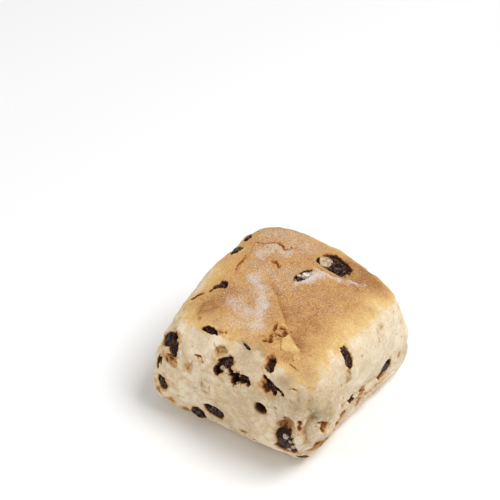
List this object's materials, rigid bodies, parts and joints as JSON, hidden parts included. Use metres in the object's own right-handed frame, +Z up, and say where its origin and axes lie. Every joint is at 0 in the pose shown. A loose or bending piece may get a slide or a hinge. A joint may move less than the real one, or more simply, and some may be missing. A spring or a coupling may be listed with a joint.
{
  "type": "date scone",
  "caption": "Square soft batch-baked scone with pale sides, a golden floury top and chopped dates showing in its skin; it stands on its flat base.",
  "frame": {"origin": "middle of the footprint of the whole scone, at the level of its flat base", "axes": "+Z up from the base; -Y towards the scone's front side and +X towards its right side"},
  "size_m": [0.0728, 0.0761, 0.0501],
  "materials": {
    "dough": "soft baked crust, golden and floury on top, cream and dry at the sides",
    "date": "dark, sticky and glossy chopped date"
  },
  "bodies": {
    "root": {"scone_dough": "dough", "date_top_back": "date", "date_top_floured": "date", "date_top_left": "date", "date_rim_left": "date", "date_rim_back": "date", "date_brow_left": "date", "date_brow_slit": "date", "date_front_corner": "date", "date_front_sliver": "date", "date_front_left": "date", "date_front_upper": "date", "date_front_ragged": "date", "date_front_brow": "date", "date_front_middle": "date", "date_front_low": "date", "date_front_foot": "date", "date_front_round": "date", "date_front_large": "date", "date_right_tall": "date", "date_right_back": "date", "date_right_slit": "date", "date_near_foot": "date", "date_left_front": "date", "date_left_upper": "date", "date_left_middle": "date", "date_left_back": "date", "date_left_foot": "date", "date_back_left": "date", "date_back_foot": "date", "date_back_upper": "date", "date_back_middle": "date", "date_back_right": "date", "date_back_corner": "date", "date_base_left": "date", "date_base_right": "date"}
  },
  "joints": []
}
